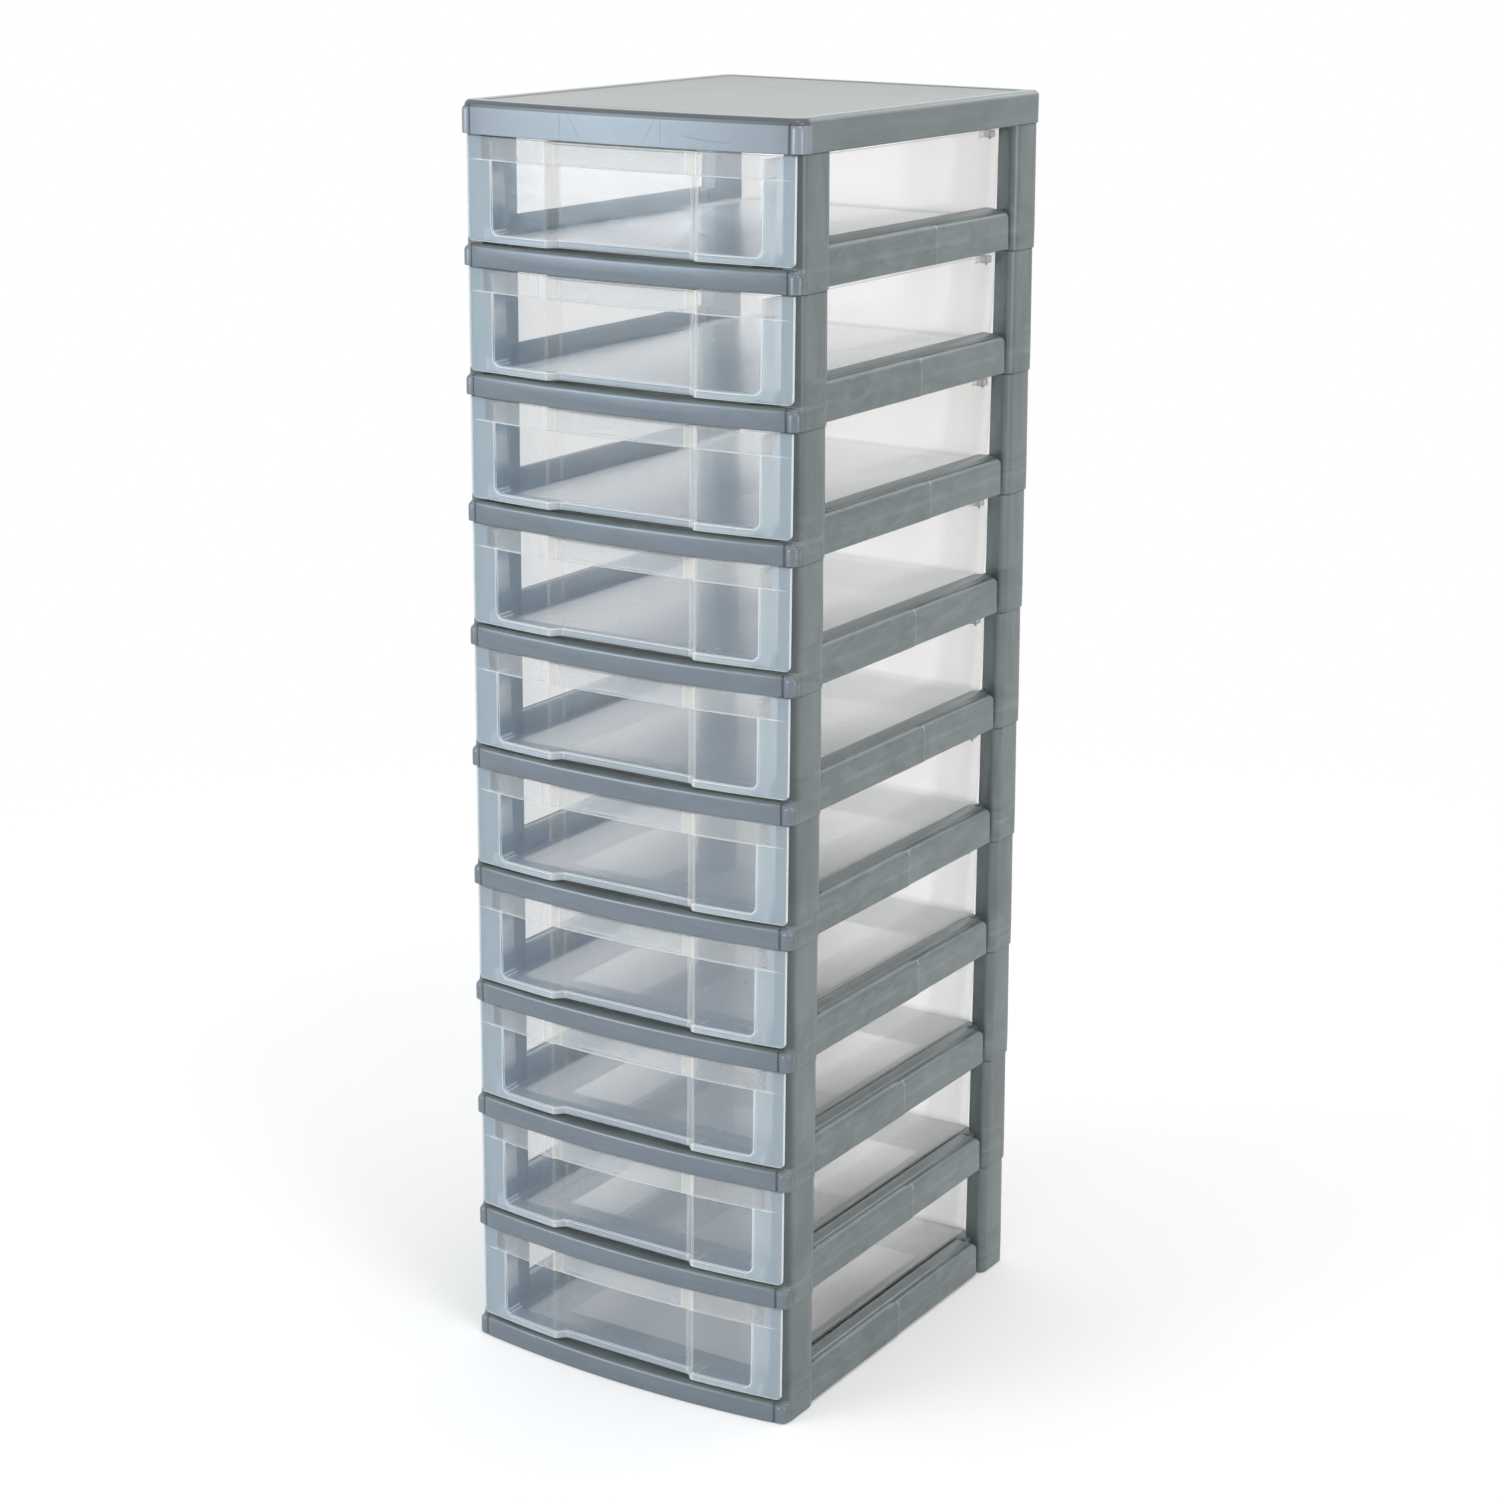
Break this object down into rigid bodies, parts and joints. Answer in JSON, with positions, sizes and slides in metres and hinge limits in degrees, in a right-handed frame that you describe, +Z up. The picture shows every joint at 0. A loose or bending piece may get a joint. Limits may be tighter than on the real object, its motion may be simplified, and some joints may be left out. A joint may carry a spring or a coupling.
{
  "type": "drawer tower",
  "caption": "Free-standing storage tower of stacked grey plastic frames and a top cover, with clear bow-fronted drawers that slide out of each tier.",
  "frame": {"origin": "on the floor under the middle of the base, half way across the width and the depth", "axes": "+X to the right as seen from the front, +Y to the back, +Z up; the drawers slide out along -Y"},
  "size_m": [0.2808, 0.355, 0.9435],
  "materials": {
    "frame_plastic": "silver-grey pearl polypropylene, satin sheen with faint flow marks",
    "cover_plastic": "silver-grey pearl polypropylene, smooth top panel",
    "clear_plastic": "natural translucent polypropylene, pale blue-grey, clear windows and a frosted band"
  },
  "bodies": {
    "carcass": {"tier_frame_01": "frame_plastic", "tier_frame_02": "frame_plastic", "tier_frame_03": "frame_plastic", "tier_frame_04": "frame_plastic", "tier_frame_05": "frame_plastic", "tier_frame_06": "frame_plastic", "tier_frame_07": "frame_plastic", "tier_frame_08": "frame_plastic", "tier_frame_09": "frame_plastic", "tier_frame_10": "frame_plastic", "top_cover": "cover_plastic"},
    "drawer_01": {"drawer_01": "clear_plastic"},
    "drawer_02": {"drawer_02": "clear_plastic"},
    "drawer_03": {"drawer_03": "clear_plastic"},
    "drawer_04": {"drawer_04": "clear_plastic"},
    "drawer_05": {"drawer_05": "clear_plastic"},
    "drawer_06": {"drawer_06": "clear_plastic"},
    "drawer_07": {"drawer_07": "clear_plastic"},
    "drawer_08": {"drawer_08": "clear_plastic"},
    "drawer_09": {"drawer_09": "clear_plastic"},
    "drawer_10": {"drawer_10": "clear_plastic"}
  },
  "joints": [
    {"name": "drawer_01_slide", "type": "slide", "parent": "carcass", "child": "drawer_01", "axis": [0, -1, 0], "range_m": [0, 0.251]},
    {"name": "drawer_02_slide", "type": "slide", "parent": "carcass", "child": "drawer_02", "axis": [0, -1, 0], "range_m": [0, 0.251]},
    {"name": "drawer_03_slide", "type": "slide", "parent": "carcass", "child": "drawer_03", "axis": [0, -1, 0], "range_m": [0, 0.251]},
    {"name": "drawer_04_slide", "type": "slide", "parent": "carcass", "child": "drawer_04", "axis": [0, -1, 0], "range_m": [0, 0.251]},
    {"name": "drawer_05_slide", "type": "slide", "parent": "carcass", "child": "drawer_05", "axis": [0, -1, 0], "range_m": [0, 0.251]},
    {"name": "drawer_06_slide", "type": "slide", "parent": "carcass", "child": "drawer_06", "axis": [0, -1, 0], "range_m": [0, 0.251]},
    {"name": "drawer_07_slide", "type": "slide", "parent": "carcass", "child": "drawer_07", "axis": [0, -1, 0], "range_m": [0, 0.251]},
    {"name": "drawer_08_slide", "type": "slide", "parent": "carcass", "child": "drawer_08", "axis": [0, -1, 0], "range_m": [0, 0.251]},
    {"name": "drawer_09_slide", "type": "slide", "parent": "carcass", "child": "drawer_09", "axis": [0, -1, 0], "range_m": [0, 0.251]},
    {"name": "drawer_10_slide", "type": "slide", "parent": "carcass", "child": "drawer_10", "axis": [0, -1, 0], "range_m": [0, 0.251]}
  ]
}
